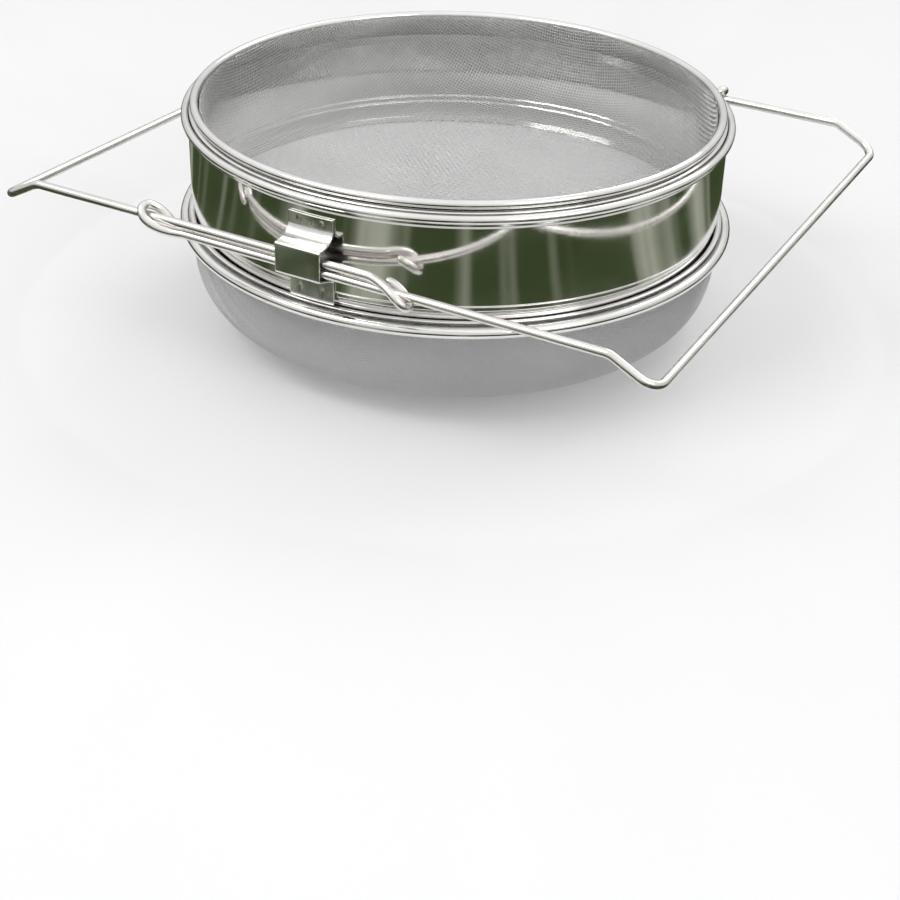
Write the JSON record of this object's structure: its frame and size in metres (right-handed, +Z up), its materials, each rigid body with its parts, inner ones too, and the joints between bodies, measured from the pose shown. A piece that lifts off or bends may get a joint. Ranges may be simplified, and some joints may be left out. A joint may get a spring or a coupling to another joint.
{
  "type": "double sieve strainer",
  "caption": "Round stainless honey strainer: coarse sieve nested in a polished band with hooked sliding wire bails, over a fine mesh bowl.",
  "frame": {"origin": "on the sieves' axis, at the flat bottom of the fine mesh bowl", "axes": "+Z up along the sieves' axis; the wire bails slide along X, and the clips that guide them are at -Y and +Y"},
  "size_m": [0.3118, 0.2656, 0.104],
  "materials": {
    "polished_sheet": "mirror polished with fine turning lines",
    "seat_sheet": "satin",
    "pressed_sheet": "bright, bent, with spot weld marks",
    "bail_wire": "drawn and buffed",
    "core_wire": "drawn",
    "fine_cloth": "fine woven wire",
    "coarse_cloth": "coarse woven wire"
  },
  "bodies": {
    "lower_sieve": {"fine_rim_hoop": "polished_sheet", "fine_rim_wire": "core_wire", "fine_seat_ring": "seat_sheet", "fine_mesh_bowl": "fine_cloth"},
    "carrier": {"carrier_band": "polished_sheet", "carrier_rim_wire": "core_wire", "front_clip": "pressed_sheet", "rear_clip": "pressed_sheet"},
    "left_bail": {"left_bail": "bail_wire"},
    "right_bail": {"right_bail": "bail_wire"},
    "top_sieve": {"coarse_rim_hoop": "polished_sheet", "coarse_rim_wire": "core_wire", "coarse_seat_flange": "seat_sheet", "coarse_mesh_basket": "coarse_cloth"}
  },
  "joints": [
    {"name": "carrier_lift", "type": "slide", "parent": "lower_sieve", "child": "carrier", "axis": [0, 0, 1], "range_m": [0, 0.06]},
    {"name": "top_sieve_lift", "type": "slide", "parent": "carrier", "child": "top_sieve", "axis": [0, 0, 1], "range_m": [0, 0.06]},
    {"name": "left_bail_slide", "type": "slide", "parent": "carrier", "child": "left_bail", "axis": [-1, 0, 0], "range_m": [-0.026, 0.018]},
    {"name": "right_bail_slide", "type": "slide", "parent": "carrier", "child": "right_bail", "axis": [1, 0, 0], "range_m": [-0.026, 0.018]}
  ]
}
